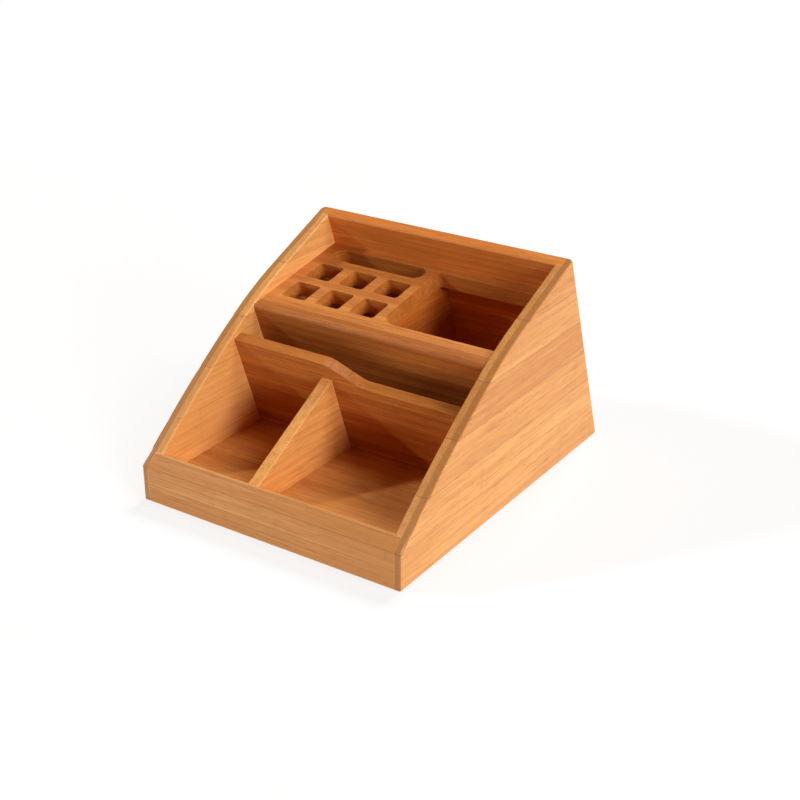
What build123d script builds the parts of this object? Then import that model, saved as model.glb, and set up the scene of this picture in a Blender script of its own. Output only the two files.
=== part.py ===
from build123d import *
from math import ceil, cos, radians, sin, tan
import os

# Desk organizer of carbonised bamboo boards: a box with two tall sloping sides,
# whose cross boards all lean forward, with two front trays, a letter slot, a pen
# plate over a pen bay, and a deep compartment.
# Millimetres.  Origin: middle of the footprint, on the desk.
# +Z up, +Y to the back, +X to the right of a person who sits at the front.
# "Foot" is where a leaning face, carried down, meets the desk, from the front.

# ---- overall ----
WIDTH = 180.0               # outside, over both sides
BASE_DEPTH = 225.0          # front to back on the desk
HEIGHT = 130.0              # of the back
LEAN_ANGLE = 19.1           # degrees, forward lean of the back and the dividers
FRONT_HEIGHT = 22.0         # of the front corner

# ---- sloping edge of the sides, from the back down to the front ----
RUN_SLOPE = 22.8            # degrees, of the straight run behind
RUN_LENGTH = 60.8
BEND_RADIUS = 230.0         # gentle bend between the straight run and the front curve
BEND_SWEEP = 9.5            # degrees

# ---- board thicknesses ----
SIDE_T = 9.0
RAIL_T = 9.0
BACK_T = 8.0
TALL_T = 8.0
WAVY_T = 7.0
CENTRE_T = 7.6
PARTITION_T = 6.0
PLATE_T = 10.0
FLOOR_T = 7.0

# ---- joints ----
HOUSING = 4.5               # depth of a cross board's end in a side
GROOVE = 4.0                # depth of the floor's edge in the rail and the back
END_ROOM = 0.1              # left free past a board's end, for glue
STAVE = 21.7                # height of one of the staves that a side is glued from

# ---- places ----
FLOOR_TOP = 14.5            # height of the floor inside
PLATE_DROP = 38.2           # top of the back down to the tall divider's front top edge
WAVY_DROP = 15.8            # from there down to the wavy divider's, on the left
WAVY_FALL = 10.3            # how much lower it is on the right
WAVY_FALL_START = -13.0     # X where it starts to fall
WAVY_FALL_END = 8.5         # X where it is level again
LETTER_SLOT = 17.1          # gap between the wavy and the tall divider
CENTRE_X = -15.5            # middle of the divider between the two trays
CENTRE_DROP = 10.7          # wavy divider's top, on the left, down to its top

# ---- pen plate ----
PLATE_SLOPE = 10.0          # degrees, rising to the back
HOLE = 18.0                 # side of a square pen hole
HOLE_PITCH = 25.0
HOLE_ROUND = 2.0
HOLE_COLUMNS = 3
HOLE_ROWS = 2
PLATE_BORDER = 8.1          # side to the first hole
PLATE_RAIL = 8.8            # front edge to the first hole
SLOT_WIDTH = 13.7
SLOT_GAP = 6.8              # last hole to the slot
SLOT_BORDER = 5.2           # slot to the back
OPEN_BORDER = 5.8           # last hole to the opening of the deep compartment
OPEN_RAIL = 7.4             # front edge to that opening
LEDGE = 6.3                 # strip along the back, behind that opening
OPEN_FRONT_ROUND = 10.0     # its corners on the left, front
OPEN_BACK_ROUND = 4.0       # and back

# ---- rounded edges ----
EDGE_ROUND = 1.2
TALL_ROUND = 2.2            # front top edge of the tall divider
WAVY_ROUND = 16.0           # both ends of the wavy edge's fall
CORNER_ROUND = 3.5          # upright corners at the back

# ---- worked out: leaning boards ----
LEAN = tan(radians(LEAN_ANGLE))
LEAN_COS = cos(radians(LEAN_ANGLE))
LEAN_SIN = sin(radians(LEAN_ANGLE))
TOP_DEPTH = BASE_DEPTH - LEAN * HEIGHT        # front to back at the top edge

# ---- worked out: across, from the middle ----
INNER = WIDTH / 2 - SIDE_T                    # inner face of a side
REACH = INNER + HOUSING                       # end of a housed board
HOLE_LEFT = PLATE_BORDER - INNER
HOLE_RIGHT = HOLE_LEFT + (HOLE_COLUMNS - 1) * HOLE_PITCH + HOLE
OPEN_LEFT = HOLE_RIGHT + OPEN_BORDER          # flush with the partition below

# ---- worked out: along the plate, from its front edge ----
HOLE_BACK = PLATE_RAIL + (HOLE_ROWS - 1) * HOLE_PITCH + HOLE
PLATE_DEPTH = HOLE_BACK + SLOT_GAP + SLOT_WIDTH + SLOT_BORDER
PLATE_COS = cos(radians(PLATE_SLOPE))
PLATE_SIN = sin(radians(PLATE_SLOPE))

# ---- worked out: feet of the leaning faces, and heights ----
BACK_FOOT = BASE_DEPTH - BACK_T / LEAN_COS    # inner face of the back
TALL_BACK = BACK_FOOT - PLATE_DEPTH * (PLATE_COS + LEAN * PLATE_SIN)
TALL_FOOT = TALL_BACK - TALL_T / LEAN_COS
WAVY_BACK = TALL_FOOT - LETTER_SLOT
WAVY_FOOT = WAVY_BACK - WAVY_T / LEAN_COS
FLOOR_UNDER = FLOOR_TOP - FLOOR_T
TALL_TOP = HEIGHT - PLATE_DROP
WAVY_HIGH = TALL_TOP - WAVY_DROP
WAVY_LOW = WAVY_HIGH - WAVY_FALL
CENTRE_TOP = WAVY_HIGH - CENTRE_DROP

SIDE_VIEW = Plane(origin=(0, -BASE_DEPTH / 2, 0), x_dir=(0, 1, 0), z_dir=(1, 0, 0))


def side_view_at(x):
    """Side-view plane through X = x: its own X runs to the back, its Y runs up."""
    return SIDE_VIEW.offset(x)


def on_wall(foot, height):
    """Side-view point at a height on the leaning face with this foot."""
    return (foot - LEAN * height, height)


def on_plate(foot, below=0.0):
    """Side-view point where a leaning face meets the plate's top, or a plane below it."""
    slope = PLATE_SIN / PLATE_COS
    y_front, z_front = on_wall(TALL_FOOT, TALL_TOP)
    z_below = z_front - below / PLATE_COS
    return on_wall(foot, (z_below + slope * (foot - y_front)) / (1 + slope * LEAN))


def lengthwise(part, above):
    """A part's edges along X that lie above a height."""
    return [edge for edge in part.edges().filter_by(Axis.X) if edge.center().Z > above]


# ---- the sides' outline, which the rail and the back follow too ----
with BuildSketch() as outline:
    with BuildLine():
        Polyline((0, FRONT_HEIGHT), (0, 0), (BASE_DEPTH, 0), (TOP_DEPTH, HEIGHT))
        run = PolarLine((TOP_DEPTH, HEIGHT), RUN_LENGTH, angle=180 + RUN_SLOPE)
        bend = JernArc(start=run @ 1, tangent=run % 1, radius=BEND_RADIUS, arc_size=BEND_SWEEP)
        TangentArc(bend @ 1, (0, FRONT_HEIGHT), tangent=bend % 1)
    make_face()


# ---- boards that run across, each as long as asked for ----
def make_front_rail(reach):
    with BuildPart() as rail:
        with BuildSketch(SIDE_VIEW):
            add(outline.sketch)
            Rectangle(RAIL_T, HEIGHT, align=(Align.MIN, Align.MIN), mode=Mode.INTERSECT)
        extrude(amount=reach, both=True)
        fillet(lengthwise(rail, FRONT_HEIGHT / 2), radius=EDGE_ROUND)
        with BuildSketch(SIDE_VIEW):
            with BuildLine():
                Polyline(
                    (RAIL_T, FLOOR_UNDER),
                    (RAIL_T - GROOVE - END_ROOM, FLOOR_UNDER),
                    (RAIL_T - GROOVE - END_ROOM, FLOOR_TOP),
                    (RAIL_T, FLOOR_TOP),
                    close=True,
                )
            make_face()
        extrude(amount=reach, both=True, mode=Mode.SUBTRACT)
    return rail.part


def make_back_panel(reach):
    with BuildPart() as back:
        with BuildSketch(SIDE_VIEW):
            with BuildLine():
                Polyline(
                    on_wall(BACK_FOOT, 0),
                    on_wall(BACK_FOOT, HEIGHT),
                    on_wall(BASE_DEPTH, HEIGHT),
                    on_wall(BASE_DEPTH, 0),
                    close=True,
                )
            make_face()
            add(outline.sketch, mode=Mode.INTERSECT)
        extrude(amount=reach, both=True)
        fillet(lengthwise(back, HEIGHT / 2), radius=EDGE_ROUND)
        with BuildSketch(SIDE_VIEW):
            with BuildLine():
                Polyline(
                    on_wall(BACK_FOOT, FLOOR_UNDER),
                    on_wall(BACK_FOOT + GROOVE + END_ROOM, FLOOR_UNDER),
                    on_wall(BACK_FOOT + GROOVE + END_ROOM, FLOOR_TOP),
                    on_wall(BACK_FOOT, FLOOR_TOP),
                    close=True,
                )
            make_face()
        extrude(amount=reach, both=True, mode=Mode.SUBTRACT)
    return back.part


def make_bottom_panel(reach):
    with BuildPart() as bottom:
        with BuildSketch(SIDE_VIEW):
            with BuildLine():
                Polyline(
                    (RAIL_T - GROOVE, FLOOR_UNDER),
                    (RAIL_T - GROOVE, FLOOR_TOP),
                    on_wall(BACK_FOOT + GROOVE, FLOOR_TOP),
                    on_wall(BACK_FOOT + GROOVE, FLOOR_UNDER),
                    close=True,
                )
            make_face()
        extrude(amount=reach, both=True)
    return bottom.part


def make_tall_divider(reach):
    with BuildPart() as tall:
        with BuildSketch(SIDE_VIEW):
            with BuildLine():
                Polyline(
                    on_wall(TALL_FOOT, FLOOR_TOP),
                    on_plate(TALL_FOOT),
                    on_plate(TALL_BACK),
                    on_wall(TALL_BACK, FLOOR_TOP),
                    close=True,
                )
            make_face()
        extrude(amount=reach, both=True)
        fillet(tall.edges().filter_by(Axis.X).sort_by(Axis.Z)[-2], radius=TALL_ROUND)
    return tall.part


def make_wavy_divider(reach):
    front_face = Plane(
        origin=(0, WAVY_FOOT - BASE_DEPTH / 2, 0),
        x_dir=(1, 0, 0),
        z_dir=(0, -LEAN_COS, -LEAN_SIN),
    )
    with BuildPart() as wavy:
        with BuildSketch(front_face):
            with BuildLine():
                top = FilletPolyline(
                    (-reach, WAVY_HIGH / LEAN_COS),
                    (WAVY_FALL_START, WAVY_HIGH / LEAN_COS),
                    (WAVY_FALL_END, WAVY_LOW / LEAN_COS),
                    (reach, WAVY_LOW / LEAN_COS),
                    radius=WAVY_ROUND,
                )
                Polyline(top @ 1, (reach, 0), (-reach, 0), top @ 0)
            make_face()
        extrude(amount=-WAVY_T)
        split(bisect_by=Plane.XY.offset(FLOOR_TOP), keep=Keep.TOP)
    return wavy.part


def make_pen_plate(reach):
    y_front, z_front = on_plate(TALL_BACK)
    top_plane = Plane(
        origin=(0, y_front - BASE_DEPTH / 2, z_front),
        x_dir=(1, 0, 0),
        z_dir=(0, -PLATE_SIN, PLATE_COS),
    )
    hole_middle = (HOLE_LEFT + HOLE_RIGHT) / 2
    with BuildPart() as plate:
        with BuildSketch(SIDE_VIEW):
            with BuildLine():
                Polyline(
                    on_plate(TALL_BACK, PLATE_T),
                    on_plate(TALL_BACK),
                    on_plate(BACK_FOOT),
                    on_plate(BACK_FOOT, PLATE_T),
                    close=True,
                )
            make_face()
        extrude(amount=reach, both=True)
        with BuildSketch(top_plane):
            with Locations((hole_middle, (PLATE_RAIL + HOLE_BACK) / 2)):
                with GridLocations(HOLE_PITCH, HOLE_PITCH, HOLE_COLUMNS, HOLE_ROWS):
                    RectangleRounded(HOLE, HOLE, HOLE_ROUND)
            with Locations((hole_middle, HOLE_BACK + SLOT_GAP + SLOT_WIDTH / 2)):
                SlotOverall(HOLE_RIGHT - HOLE_LEFT, SLOT_WIDTH)
        extrude(amount=-2 * PLATE_T, mode=Mode.SUBTRACT)
        with BuildSketch(top_plane) as opening:
            with Locations((OPEN_LEFT, OPEN_RAIL)):
                Rectangle(
                    reach - OPEN_LEFT,
                    PLATE_DEPTH - OPEN_RAIL - LEDGE,
                    align=(Align.MIN, Align.MIN),
                )
            front_corner = opening.vertices().group_by(Axis.X)[0].sort_by(Axis.Y)[0]
            fillet(front_corner, radius=OPEN_FRONT_ROUND)
            back_corner = opening.vertices().group_by(Axis.X)[0].sort_by(Axis.Y)[-1]
            fillet(back_corner, radius=OPEN_BACK_ROUND)
        extrude(amount=-2 * PLATE_T, mode=Mode.SUBTRACT)
    return plate.part


CROSS_BOARDS = {
    "front_rail": make_front_rail,
    "back_panel": make_back_panel,
    "bottom_panel": make_bottom_panel,
    "tall_divider": make_tall_divider,
    "wavy_divider": make_wavy_divider,
    "pen_plate": make_pen_plate,
}


# ---- short boards that run front to back ----
def make_centre_divider(rail):
    """Between the two trays, from the rail's inner face to the wavy divider."""
    inner_face = rail.faces().filter_by(Axis.Y).group_by(Axis.Y)[-1].sort_by(Axis.Z)[-1]
    with BuildPart() as centre:
        with BuildSketch(side_view_at(CENTRE_X)):
            with BuildLine():
                Polyline(
                    (RAIL_T, FLOOR_TOP),
                    (RAIL_T, inner_face.bounding_box().max.Z),
                    on_wall(WAVY_FOOT, CENTRE_TOP),
                    on_wall(WAVY_FOOT, FLOOR_TOP),
                    close=True,
                )
            make_face()
        extrude(amount=CENTRE_T / 2, both=True)
        top = centre.faces().sort_by(Axis.Z)[-1]
        fillet(top.edges().filter_by(Axis.X, reverse=True), radius=EDGE_ROUND)
    return centre.part


def make_pen_partition():
    """Under the plate, between the pen bay and the deep compartment."""
    with BuildPart() as partition:
        with BuildSketch(side_view_at(OPEN_LEFT)):
            with BuildLine():
                Polyline(
                    on_wall(TALL_BACK, FLOOR_TOP),
                    on_plate(TALL_BACK, PLATE_T),
                    on_plate(BACK_FOOT, PLATE_T),
                    on_wall(BACK_FOOT, FLOOR_TOP),
                    close=True,
                )
            make_face()
        extrude(amount=-PARTITION_T)
    return partition.part


# ---- the sides: staves glued edge to edge, housed for the cross boards ----
REAR = TOP_DEPTH - BASE_DEPTH / 2             # Y where the top edge meets the back


def on_slope(point):
    """Whether an edge's middle lies on the sloping top of a side."""
    return point.Z > FRONT_HEIGHT and point.Y < REAR


def make_side(side, housed):
    """The left (-1) or right (+1) side in one piece, cut for the boards it houses."""
    with BuildPart() as panel:
        with BuildSketch(side_view_at(side * INNER)):
            add(outline.sketch)
        extrude(amount=side * SIDE_T)
        outer = panel.faces().filter_by(Axis.X).sort_by(Axis.X, reverse=side > 0)[0]
        fillet([edge for edge in outer.edges() if edge.center().Y > REAR], radius=CORNER_ROUND)
        outer, inner = panel.faces().filter_by(Axis.X).sort_by(Axis.X, reverse=side > 0)
        across = panel.edges().filter_by(Axis.X).group_by(Axis.Z)
        touched = across[1] + across[-1]      # across the front corner and the top of the back
        touched += [edge for edge in outer.edges() if edge.center().Y < REAR]
        touched += [edge for edge in inner.edges() if on_slope(edge.center())]
        fillet(touched, radius=EDGE_ROUND)
        for board in housed:
            add(board, mode=Mode.SUBTRACT)
    return panel.part


def make_stave(panel, level):
    """One horizontal stave of a side, counted from the desk up."""
    with BuildPart() as stave:
        add(panel)
        with Locations((0, 0, level * STAVE)):
            Box(
                WIDTH,
                BASE_DEPTH,
                STAVE,
                align=(Align.CENTER, Align.CENTER, Align.MIN),
                mode=Mode.INTERSECT,
            )
    return stave.part


# ---- all the pieces, by name ----
pieces = {name: make(REACH) for name, make in CROSS_BOARDS.items()}
housings = [make(REACH + END_ROOM) for make in CROSS_BOARDS.values()]
pieces["centre_divider"] = make_centre_divider(pieces["front_rail"])
pieces["pen_partition"] = make_pen_partition()
for side_name, side in (("left", -1), ("right", 1)):
    side_panel = make_side(side, housings)
    for level in range(ceil(HEIGHT / STAVE)):
        pieces[f"{side_name}_side_stave_{level + 1}"] = make_stave(side_panel, level)

os.makedirs("parts", exist_ok=True)
for name, piece in pieces.items():
    piece.label = name
    export_step(piece, f"parts/{name}.step")
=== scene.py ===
"""Looks for the bamboo desk organizer: wood for every board, a pale floor, soft light and the camera.

Metres, in the frame's axes: +Z up, +Y to the back, +X to the right.
"""

from math import cos, radians, sin

import bpy
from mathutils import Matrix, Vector


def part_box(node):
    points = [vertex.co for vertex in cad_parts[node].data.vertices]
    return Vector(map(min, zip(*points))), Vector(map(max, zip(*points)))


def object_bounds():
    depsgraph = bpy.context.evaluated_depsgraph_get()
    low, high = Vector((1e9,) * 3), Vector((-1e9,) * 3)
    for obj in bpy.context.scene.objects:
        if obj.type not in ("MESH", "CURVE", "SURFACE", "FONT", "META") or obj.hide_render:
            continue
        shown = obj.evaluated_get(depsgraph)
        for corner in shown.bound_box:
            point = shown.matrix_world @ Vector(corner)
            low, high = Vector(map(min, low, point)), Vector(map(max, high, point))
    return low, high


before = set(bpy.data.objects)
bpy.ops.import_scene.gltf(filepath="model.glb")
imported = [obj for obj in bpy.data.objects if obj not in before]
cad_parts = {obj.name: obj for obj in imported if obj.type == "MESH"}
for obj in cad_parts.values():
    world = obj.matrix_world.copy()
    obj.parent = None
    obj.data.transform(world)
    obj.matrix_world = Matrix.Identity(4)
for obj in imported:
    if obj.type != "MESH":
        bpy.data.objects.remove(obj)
cad_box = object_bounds()

# ---- places taken from the frame ----
LOW, HIGH = (Vector(corner) for corner in cad_box)
MIDDLE = (LOW + HIGH) / 2
SIDE_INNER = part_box("left_side_stave_2")[1][0]      # X of the left side's inner face
SIDE_T = SIDE_INNER - LOW.x
PLY = abs(LOW.x) - SIDE_T / 2                       # |X| where a side's outer ply begins
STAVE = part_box("left_side_stave_2")[1][2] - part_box("left_side_stave_2")[0][2]
BACK_LEAN = radians(19.1)                           # forward lean of the cross boards
PLATE_SLOPE = radians(10.0)                         # rise of the pen plate to the back


# ---- node helpers ----
class Graph:
    """A material's node tree, with short calls for the nodes that are used here."""

    def __init__(self, material):
        material.use_nodes = True
        self.tree = material.node_tree
        self.tree.nodes.clear()

    def node(self, kind, inputs=None, **settings):
        made = self.tree.nodes.new(kind)
        for name, value in settings.items():
            setattr(made, name, value)
        for key, value in (inputs or {}).items():
            if isinstance(value, bpy.types.NodeSocket):
                self.tree.links.new(value, made.inputs[key])
            else:
                made.inputs[key].default_value = value
        return made

    def math(self, operation, *values, clamp=False):
        inputs = dict(enumerate(values))
        return self.node("ShaderNodeMath", inputs, operation=operation, use_clamp=clamp).outputs[0]

    def noise(self, vector, scale, detail=2.0, rough=0.5):
        inputs = {"Vector": vector, "Scale": scale, "Detail": detail, "Roughness": rough}
        return self.node("ShaderNodeTexNoise", inputs).outputs["Fac"]

    def stretch(self, vector, scale, shift=(0, 0, 0)):
        """The vector with each axis scaled, then shifted."""
        inputs = {"Vector": vector, "Scale": scale, "Location": shift}
        return self.node("ShaderNodeMapping", inputs).outputs[0]

    def ramp(self, value, low, high):
        """0 up to low, 1 from high on, smooth between."""
        inputs = {"Value": value, "From Min": low, "From Max": high}
        made = self.node("ShaderNodeMapRange", inputs, interpolation_type="SMOOTHSTEP")
        return made.outputs[0]

    def mix(self, factor, first, second, blend="MIX"):
        made = self.node("ShaderNodeMix", data_type="RGBA", blend_type=blend)
        for socket, value in ((made.inputs[0], factor), (made.inputs[6], first), (made.inputs[7], second)):
            if isinstance(value, bpy.types.NodeSocket):
                self.tree.links.new(value, socket)
            elif socket.name == "Factor":
                socket.default_value = value
            else:
                socket.default_value = (*value, 1.0)
        return made.outputs[2]

    def lay(self, base, mask, strength, colour):
        """The base with a colour laid over it where the mask is, at most this strong."""
        return self.mix(self.math("MULTIPLY", mask, strength), base, colour)


# ---- bamboo ----
# linear colours of carbonised bamboo
LIGHT = (0.88, 0.415, 0.125)
DARK = (0.62, 0.235, 0.052)
FIBRE = (0.30, 0.085, 0.016)
EDGE_PLY = (0.34, 0.115, 0.022)

STRIP = 0.0055              # width of the cross boards' edge-grain strips
SEAM = (0.0003, 0.00005)    # from a strip's edge: where its seam fades out and where it is full
SEAM_CLEAR = (0.0008, 0.0018)       # from a stave's seam: no painted edge highlight, full painted edge highlight
INTERNODE = 0.23            # from one knuckle of a cane to the next
KNUCKLE_BEND = 0.010        # how far a knuckle strays along the grain
KNUCKLE_LINE = (0.0009, 0.0002)     # from a knuckle: faded out, full
KNUCKLE_BAND = (0.0090, 0.0010)
HIGHLIGHT_RADIUS = 0.0012        # reach of the painted highlight around an edge
PLY_BLUR = 0.0002           # half of the change from the inner ply to the outer

# grain, in waves per metre: along, across and through the board
FINE = (34.0, 1700.0, 1700.0)
DASH = (85.0, 1800.0, 1800.0)
STREAK = (9.0, 330.0, 330.0)
CLOUD = (9.0, 26.0, 26.0)

GRAIN_DEPTH = 0.00012
ROUGHNESS = (0.40, 0.58)    # of the smoothest and the coarsest grain


def stained_and_shaded(colour, tone_and_shade, stain_and_shade):
    """A colour made deeper by its stain, then brighter or darker by its tone; both also carry painted
    light and shade, not only the wood's colour.
    """
    return tuple(tone_and_shade * part**stain_and_shade for part in colour)


def grain_space(graph, along, tilt):
    """Object position turned so that X runs along the grain and Y across it."""
    place = graph.node("ShaderNodeTexCoord").outputs["Object"]
    if along == "x":
        inputs = {"Vector": place, "Angle": tilt}
        return graph.node("ShaderNodeVectorRotate", inputs, rotation_type="X_AXIS").outputs[0]
    parts = graph.node("ShaderNodeSeparateXYZ", {"Vector": place}).outputs
    return graph.node("ShaderNodeCombineXYZ", {"X": parts[1], "Y": parts[2], "Z": parts[0]}).outputs[0]


def bamboo(name, along="x", tilt=0.0, strip=STRIP, seed=0.0, tone_and_shade=1.0, stain_and_shade=1.0, side=False):
    """Carbonised bamboo, lacquered satin.

    along: axis of the grain; tilt: turn about X that lays the board flat; strip: width of its
    strips; tone: brightness, which also holds painted light and shade; stain: how deep its colour
    is, 1 for the usual one, which also holds painted shade; side: for the organizer's sides, whose
    strips are their staves and whose edges show a darker outer ply.
    """
    # the board's colours, made lighter or darker by its painted light and shade
    light, dark, fibre = (stained_and_shaded(colour, tone_and_shade, stain_and_shade) for colour in (LIGHT, DARK, FIBRE))
    material = bpy.data.materials.new(name)
    graph = Graph(material)
    space = grain_space(graph, along, tilt)
    run, across = graph.node("ShaderNodeSeparateXYZ", {"Vector": space}).outputs[:2]

    # strips, each with its own tone and its own shift along the cane
    lane = graph.math("DIVIDE", across, strip)
    index = graph.math("FLOOR", lane)
    key = graph.node("ShaderNodeCombineXYZ", {"X": index, "Y": seed, "Z": seed * 1.7}).outputs[0]
    luck = graph.node("ShaderNodeTexWhiteNoise", {"Vector": key}, noise_dimensions="3D").outputs
    shift = graph.node("ShaderNodeSeparateXYZ", {"Vector": luck["Color"]}).outputs[1]
    from_seam = graph.math("PINGPONG", graph.math("FRACT", lane), 0.5)
    from_seam = graph.math("MULTIPLY", from_seam, strip)
    seam = graph.ramp(from_seam, *SEAM)

    # fibres: long and thin, shifted from strip to strip
    moved = graph.node("ShaderNodeVectorMath", {0: space, 1: luck["Color"]}, operation="ADD")
    moved = moved.outputs[0]
    fine = graph.noise(graph.stretch(moved, FINE), 1.0, 3.0, 0.6)
    dash = graph.noise(graph.stretch(moved, DASH), 1.0, 2.0, 0.5)
    streak = graph.noise(graph.stretch(moved, STREAK), 1.0, 3.0, 0.55)
    cloud = graph.noise(graph.stretch(space, CLOUD, (seed, 0, 0)), 1.0, 2.0, 0.5)

    # knuckles: one thin dark line across a strip, in a slightly darker band
    cane = graph.math("FRACT", graph.math("ADD", graph.math("DIVIDE", run, INTERNODE), shift))
    bend = graph.math("MULTIPLY", graph.math("SUBTRACT", cloud, 0.5), KNUCKLE_BEND)
    off = graph.math("MULTIPLY", graph.math("SUBTRACT", cane, 0.5), INTERNODE)
    off = graph.math("ABSOLUTE", graph.math("ADD", off, bend))
    line = graph.ramp(off, *KNUCKLE_LINE)
    band = graph.ramp(off, *KNUCKLE_BAND)

    # colour: the strips' tones, then what lies over them
    base = graph.mix(graph.math("MULTIPLY_ADD", luck["Value"], 0.70, 0.15), dark, light)
    for mask, strength, colour in (
        (graph.ramp(streak, 0.42, 0.66), 0.50, dark),
        (graph.ramp(streak, 0.52, 0.25), 0.50, light),
        (graph.ramp(fine, 0.52, 0.70), 0.42, fibre),
        (graph.ramp(dash, 0.58, 0.70), 0.46, fibre),
        (graph.ramp(cloud, 0.42, 0.66), 0.45, dark),
        (band, 0.10, dark),
        (line, 0.10, fibre),
    ):
        base = graph.lay(base, mask, strength, colour)
    edge_highlight = painted_edge_highlight(graph, cloud)
    if side:
        base = graph.mix(edge_ply(graph), base, EDGE_PLY)
        edge_highlight = graph.math("MULTIPLY", edge_highlight, graph.ramp(from_seam, *SEAM_CLEAR))
    # painted highlight: the light colour laid along rounded edges
    base = graph.lay(base, edge_highlight, 0.45, light)
    base = graph.lay(base, seam, 0.50 if side else 0.30, fibre)

    # relief: streaks stand up; fine fibres, seams and knuckles sink
    relief = graph.math("MULTIPLY", streak, 0.4)
    for mask, depth in ((fine, 0.6), (seam, 0.8), (line, 0.5)):
        relief = graph.math("SUBTRACT", relief, graph.math("MULTIPLY", mask, depth))
    bump = graph.node("ShaderNodeBump", {"Height": relief, "Strength": 0.35, "Distance": GRAIN_DEPTH})
    smoothest, coarsest = ROUGHNESS
    span = {"From Min": 0.3, "From Max": 0.75, "To Min": smoothest, "To Max": coarsest}
    rough = graph.node("ShaderNodeMapRange", {"Value": fine, **span})
    shader = graph.node(
        "ShaderNodeBsdfPrincipled",
        {
            "Base Color": base,
            "Roughness": rough.outputs[0],
            "Normal": bump.outputs[0],
            "Specular IOR Level": 0.35,
            "Coat Weight": 0.10,
            "Coat Roughness": 0.35,
        },
    )
    graph.node("ShaderNodeOutputMaterial", {"Surface": shader.outputs[0]})
    return material


def painted_edge_highlight(graph, cloud):
    """Up to 1 along rounded edges, patchy, where a painted highlight makes the wood lighter."""
    straight = graph.node("ShaderNodeNewGeometry").outputs["Normal"]
    rounded = graph.node("ShaderNodeBevel", {"Radius": HIGHLIGHT_RADIUS}, samples=4).outputs[0]
    agree = graph.node("ShaderNodeVectorMath", {0: straight, 1: rounded}, operation="DOT_PRODUCT")
    edge = graph.ramp(agree.outputs["Value"], 0.995, 0.93)
    return graph.math("MULTIPLY", edge, graph.ramp(cloud, 0.25, 0.60))


def edge_ply(graph):
    """How much darker a side's narrow edges are: most on its outer ply, 0 on its broad faces."""
    place = graph.node("ShaderNodeTexCoord").outputs
    x = graph.node("ShaderNodeSeparateXYZ", {"Vector": place["Object"]}).outputs[0]
    facing = graph.node("ShaderNodeSeparateXYZ", {"Vector": place["Normal"]}).outputs[0]
    outer = graph.ramp(graph.math("ABSOLUTE", x), PLY - PLY_BLUR, PLY + PLY_BLUR)
    edge = graph.ramp(graph.math("ABSOLUTE", facing), 0.80, 0.45)
    return graph.math("MULTIPLY", graph.math("MULTIPLY_ADD", outer, 0.40, 0.25), edge)


# ---- which board has which look ----
UPRIGHT = -radians(90)              # turns an upright board flat
WALL = UPRIGHT - BACK_LEAN          # turns a leaning board flat

# Tone and stain follow how each board looks in its own light and shade, so they aren't the
# wood's alone: the two sides differ, and the boards that stand in shade are darker and redder.
WOODS = {
    "left_side_stave": dict(along="y", strip=STAVE, seed=1.0, tone_and_shade=1.22, stain_and_shade=0.88, side=True),
    "right_side_stave": dict(along="y", strip=STAVE, seed=12.0, tone_and_shade=1.08, side=True),
    "front_rail": dict(tilt=UPRIGHT, seed=3.0, tone_and_shade=0.98),
    "back_panel": dict(tilt=WALL, seed=4.0, tone_and_shade=1.22, stain_and_shade=1.30),
    "bottom_panel": dict(strip=0.021, seed=5.0, tone_and_shade=1.0, stain_and_shade=1.05),
    "tall_divider": dict(tilt=WALL, seed=6.0, tone_and_shade=0.76, stain_and_shade=1.45),
    "wavy_divider": dict(tilt=WALL, seed=7.0, tone_and_shade=0.82, stain_and_shade=1.40),
    "centre_divider": dict(along="y", strip=0.07, seed=8.0, tone_and_shade=1.15),
    "pen_plate": dict(tilt=-PLATE_SLOPE, strip=0.012, seed=9.0, tone_and_shade=0.95, stain_and_shade=1.30),
    "pen_partition": dict(along="y", strip=0.02, seed=10.0, tone_and_shade=0.88, stain_and_shade=1.60),
}


def dress(obj, material):
    """Gives every face of a CAD board this material."""
    for slot in obj.material_slots:
        slot.material = material


for kind, looks in WOODS.items():
    wood = bamboo(kind, **looks)
    for node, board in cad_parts.items():
        if node.startswith(kind):
            dress(board, wood)


# ---- floor ----
FLOOR_REACH = 6.0
FLOOR_GAP = 0.0002          # below the object, so that the two faces don't fight


def make_floor():
    """A grey floor with a strong glow of its own: it looks white and takes only faint shadows."""
    bpy.ops.mesh.primitive_plane_add(size=2 * FLOOR_REACH, location=(0, 0, LOW.z - FLOOR_GAP))
    floor = bpy.context.object
    floor.name = "floor"
    material = bpy.data.materials.new("pale_paper")
    graph = Graph(material)
    place = graph.node("ShaderNodeTexCoord").outputs["Object"]
    mottle = graph.noise(place, 3.0, 2.0)
    colour = graph.mix(mottle, (0.240, 0.238, 0.234), (0.255, 0.253, 0.248))
    shader = graph.node(
        "ShaderNodeBsdfPrincipled",
        {
            "Base Color": colour,
            "Roughness": 0.9,
            "Specular IOR Level": 0.1,
            "Emission Color": (1.0, 0.995, 0.99, 1.0),
            "Emission Strength": 0.75,
        },
    )
    graph.node("ShaderNodeOutputMaterial", {"Surface": shader.outputs[0]})
    floor.data.materials.append(material)


make_floor()


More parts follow.
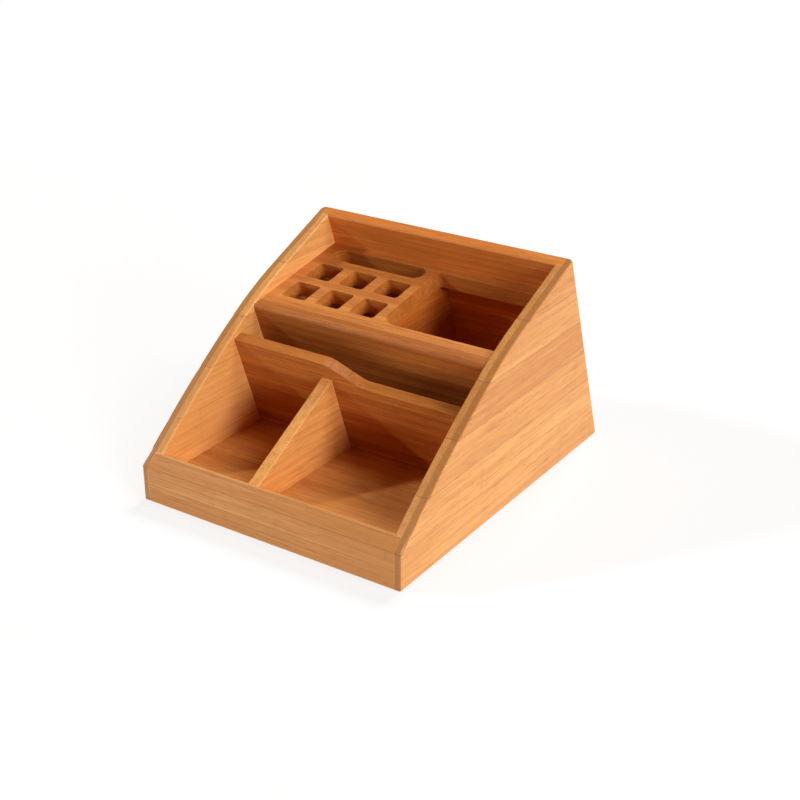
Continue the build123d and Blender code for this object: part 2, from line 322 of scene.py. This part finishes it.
# ---- light ----
def far_light(name, azimuth, elevation, spread, strength, colour=(1, 1, 1)):
    """A large soft light from far off. Azimuth counts from the front (-Y) to the right (+X)."""
    lamp = bpy.data.lights.new(name, "SUN")
    lamp.angle = radians(spread)
    lamp.energy = strength
    lamp.color = colour
    obj = bpy.data.objects.new(name, lamp)
    around, up = radians(azimuth), radians(elevation)
    towards = Vector((sin(around) * cos(up), -cos(around) * cos(up), sin(up)))
    obj.location = MIDDLE + towards
    obj.rotation_euler = towards.to_track_quat("Z", "Y").to_euler()
    bpy.context.scene.collection.objects.link(obj)


far_light("key_right", azimuth=70, elevation=18, spread=20, strength=1.55, colour=(1.0, 0.985, 0.965))
far_light("high_right", azimuth=100, elevation=48, spread=20, strength=0.95)
far_light("high_back", azimuth=180, elevation=50, spread=22, strength=1.9)
far_light("fill_left", azimuth=-62, elevation=29, spread=4, strength=1.3)

WORLD_LIGHT = 0.01          # the world's strength as a light
WORLD_SEEN = 0.98           # and as the pale wall behind


def make_world():
    """A pale wall all round, which hardly lights the object."""
    world = bpy.data.worlds.new("studio")
    bpy.context.scene.world = world
    world.use_nodes = True
    sky = world.node_tree.nodes["Background"]
    sky.inputs["Color"].default_value = (1.0, 0.995, 0.985, 1.0)
    seen = world.node_tree.nodes.new("ShaderNodeLightPath").outputs["Is Camera Ray"]
    strength = world.node_tree.nodes.new("ShaderNodeMapRange")
    strength.inputs["To Min"].default_value = WORLD_LIGHT
    strength.inputs["To Max"].default_value = WORLD_SEEN
    world.node_tree.links.new(seen, strength.inputs["Value"])
    world.node_tree.links.new(strength.outputs[0], sky.inputs["Strength"])


make_world()
bpy.context.scene.view_settings.view_transform = "Standard"

# ---- camera ----
CAMERA_PLACE = (0.4525, -0.6559, 0.4228)
CAMERA_DOWN = radians(25.49)        # how far it looks down
CAMERA_TURN = radians(33.76)        # how far it is turned to the left of straight back

camera = bpy.data.objects.new("camera", bpy.data.cameras.new("camera"))
camera.data.sensor_width = 36.0
camera.data.lens = 66.4
camera.location = CAMERA_PLACE
camera.rotation_euler = (radians(90) - CAMERA_DOWN, 0, CAMERA_TURN)
bpy.context.scene.collection.objects.link(camera)
bpy.context.scene.camera = camera
